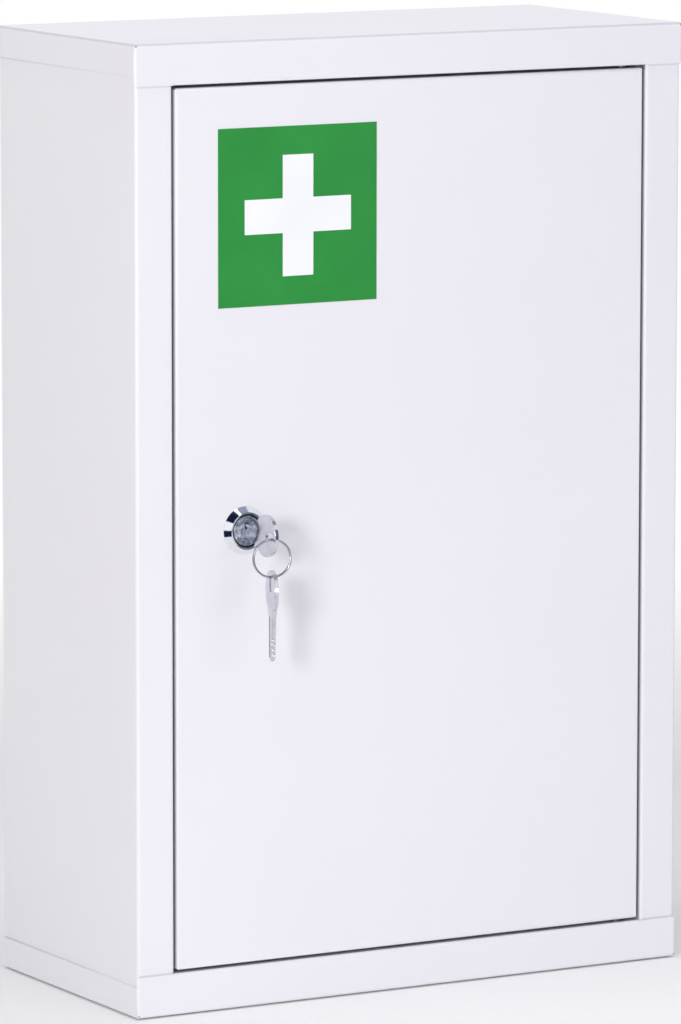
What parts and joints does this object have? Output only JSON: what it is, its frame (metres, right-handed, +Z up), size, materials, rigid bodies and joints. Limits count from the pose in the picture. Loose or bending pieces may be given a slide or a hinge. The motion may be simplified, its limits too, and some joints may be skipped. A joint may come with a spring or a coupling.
{
  "type": "lockable medicine cabinet",
  "caption": "Wall cabinet of folded white steel with an inset door on hidden pivots, shelves inside, and a cam lock with a key and a spare on a split ring.",
  "frame": {"origin": "centre of the case's underside", "axes": "+Z up, +X to the right seen from the front, the door faces -Y and the back lies on the wall at +Y"},
  "size_m": [0.3, 0.1759, 0.46],
  "materials": {
    "case_paint": "smooth semi-gloss white powder coat",
    "door_paint": "smooth semi-gloss white powder coat",
    "shelf_paint": "smooth semi-gloss white powder coat",
    "bumper_rubber": "matt moulded rubber",
    "zinc_steel": "bright zinc plate",
    "bush_nylon": "black moulded nylon",
    "sign_green": "printed vinyl film",
    "sign_white": "printed vinyl film",
    "lock_chrome": "polished chrome plate",
    "plug_steel": "dark nickel-plated die casting",
    "key_nickel": "nickel-plated, lightly brushed",
    "ring_steel": "polished spring steel"
  },
  "bodies": {
    "cabinet": {"case_wrap": "case_paint", "top_cap": "case_paint", "bottom_cap": "case_paint", "shelf_brackets": "shelf_paint", "upper_shelf": "shelf_paint", "lower_shelf": "shelf_paint", "door_bumpers": "bumper_rubber", "upper_hinge_pin": "zinc_steel", "lower_hinge_pin": "zinc_steel"},
    "door": {"door_panel": "door_paint", "upper_hinge_bush": "bush_nylon", "lower_hinge_bush": "bush_nylon", "sign_panel": "sign_green", "sign_cross": "sign_white", "lock_housing": "lock_chrome", "lock_washer": "zinc_steel", "lock_nut": "zinc_steel"},
    "lock": {"lock_plug": "plug_steel", "lock_cam": "zinc_steel", "cam_washer": "zinc_steel", "cam_screw": "zinc_steel"},
    "key": {"key": "key_nickel"},
    "ring": {"key_ring": "ring_steel"},
    "spare": {"spare_key": "key_nickel"}
  },
  "joints": [
    {"name": "door_hinge", "type": "hinge", "parent": "cabinet", "child": "door", "pos_m": [0.1188, -0.0642, 0.23], "axis": [0, 0, 1], "range_deg": [0, 110]},
    {"name": "lock_turn", "type": "hinge", "parent": "door", "child": "lock", "pos_m": [-0.0916, -0.0692, 0.229], "axis": [0, 1, 0], "range_deg": [0, 90]},
    {"name": "key_slide", "type": "slide", "parent": "lock", "child": "key", "axis": [0, -1, 0], "range_m": [0, 0.016]},
    {"name": "ring_swing", "type": "hinge", "parent": "key", "child": "ring", "pos_m": [-0.0916, -0.09601, 0.22795], "axis": [0.9613, -0.2756, 0], "range_deg": [-25, 12]},
    {"name": "spare_swing", "type": "hinge", "parent": "ring", "child": "spare", "pos_m": [-0.0916, -0.09601, 0.21015], "axis": [0.9613, -0.2756, 0], "range_deg": [-25, 12]}
  ]
}
